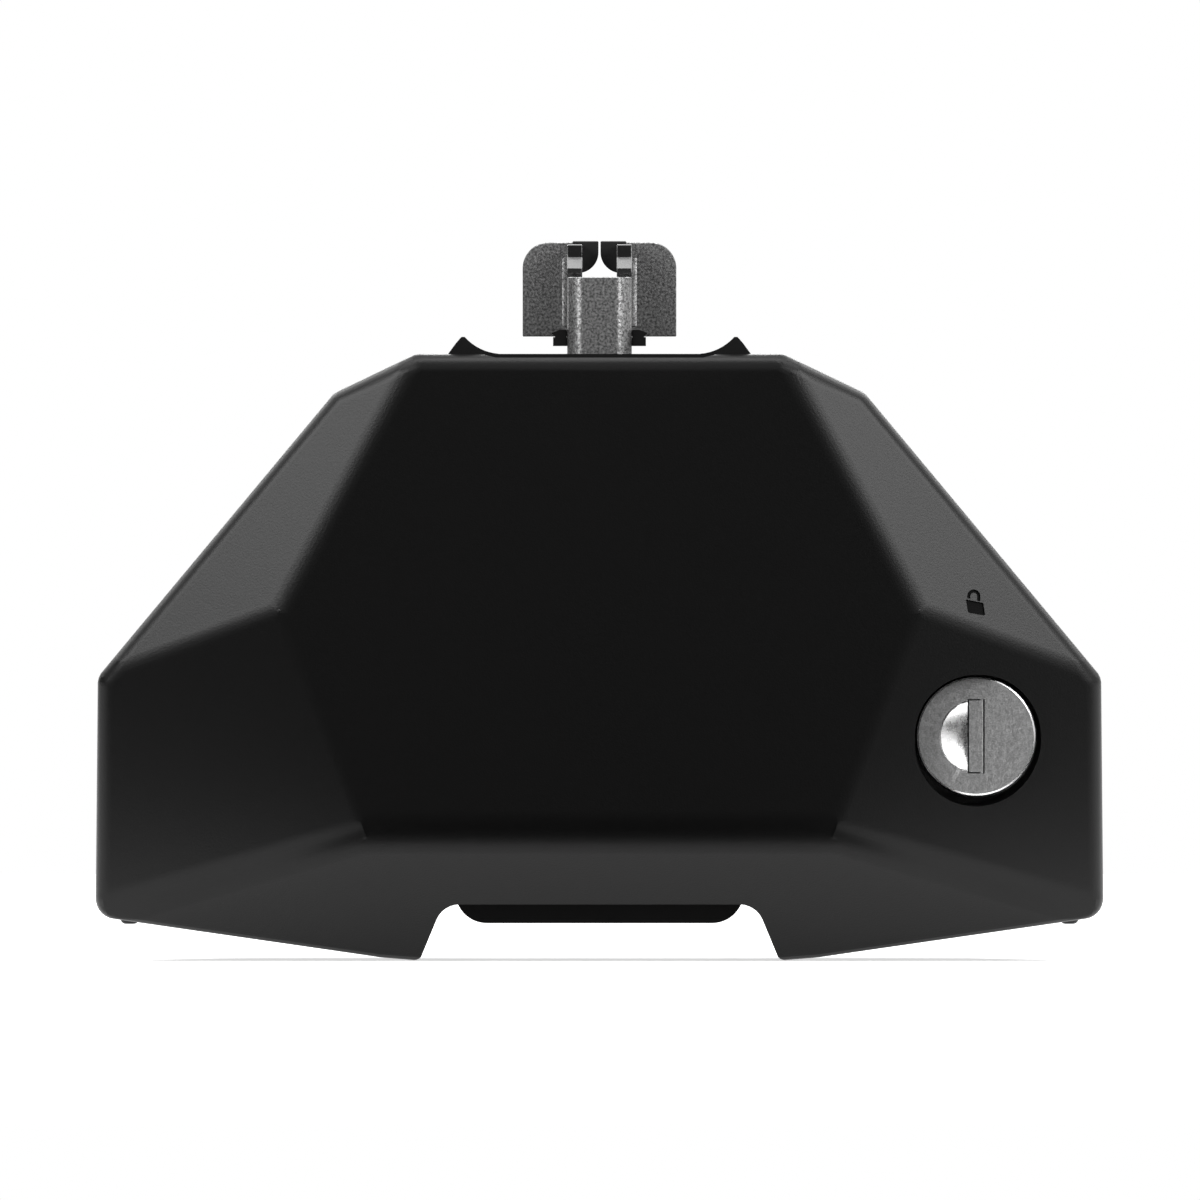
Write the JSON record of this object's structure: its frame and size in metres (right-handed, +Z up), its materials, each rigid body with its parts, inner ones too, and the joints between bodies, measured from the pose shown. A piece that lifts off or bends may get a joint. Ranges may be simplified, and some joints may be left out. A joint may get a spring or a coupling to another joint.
{
  "type": "roof bar foot",
  "caption": "Lockable roof bar foot: faceted cover over a moulded body, with a screw-drawn clamp for a slotted bar above and a claw for the vehicle's bracket below.",
  "frame": {"origin": "bottom centre of the whole foot, on the standing plane", "axes": "+X to the lock's side, seen from the front; the front face looks along -Y; +Z up to the bar"},
  "size_m": [0.16, 0.092, 0.1145],
  "materials": {
    "cover_black": "fine-grained satin black",
    "moulded_black": "plain satin black",
    "rubber": "smooth black",
    "coated_steel": "dark grey zinc-flake coat, fine grain",
    "plain_steel": "zinc-plated, satin",
    "lock_metal": "die-cast zinc, lightly scratched"
  },
  "bodies": {
    "foot": {"body_shell": "moulded_black", "saddle": "rubber", "frame": "coated_steel", "top_plate": "coated_steel", "base_plate": "coated_steel", "base_screws": "plain_steel", "strike_plate": "plain_steel", "strike_screws": "plain_steel", "thrust_washer": "plain_steel"},
    "screw": {"tightening_screw": "plain_steel", "retaining_ring": "plain_steel"},
    "draw": {"draw_block": "plain_steel", "claw": "coated_steel", "claw_rivets": "plain_steel"},
    "clamp": {"bar_clamp": "coated_steel", "clamp_guide": "moulded_black", "cross_pin": "plain_steel", "pin_rings": "plain_steel"},
    "cover": {"front_cover": "cover_black", "cover_bumpers": "rubber", "lock_housing": "lock_metal", "housing_screws": "plain_steel"},
    "lock": {"lock_plug": "lock_metal", "lock_cam": "plain_steel", "cam_screw": "plain_steel"},
    "shutter": {"key_shutter": "lock_metal"}
  },
  "joints": [
    {"name": "screw_turn", "type": "hinge", "parent": "foot", "child": "screw", "pos_m": [0, 0, 0.044], "axis": [0, 1, 0], "range_deg": [0, 1440.01]},
    {"name": "draw_slide", "type": "slide", "parent": "foot", "child": "draw", "axis": [0, -1, 0], "range_m": [0, 0.005]},
    {"name": "clamp_slide", "type": "slide", "parent": "foot", "child": "clamp", "axis": [0, 0, -1], "range_m": [0, 0.0029]},
    {"name": "cover_pull", "type": "slide", "parent": "foot", "child": "cover", "axis": [0, -1, 0], "range_m": [0, 0.075]},
    {"name": "lock_turn", "type": "hinge", "parent": "cover", "child": "lock", "pos_m": [0.0597, -0.03, 0.0355], "axis": [0, 1, 0], "range_deg": [0, 90]},
    {"name": "shutter_swing", "type": "hinge", "parent": "lock", "child": "shutter", "pos_m": [0.0607, -0.03985, 0.0355], "axis": [0, 0, -1], "range_deg": [0, 85], "stiffness_Nm_per_rad": 0.0005, "springref_deg": -8.59}
  ],
  "couplings": [
    {"joint": "screw_turn", "follows": "draw_slide", "rad_per_m": 5026.5},
    {"joint": "clamp_slide", "follows": "draw_slide", "ratio": 0.578}
  ]
}
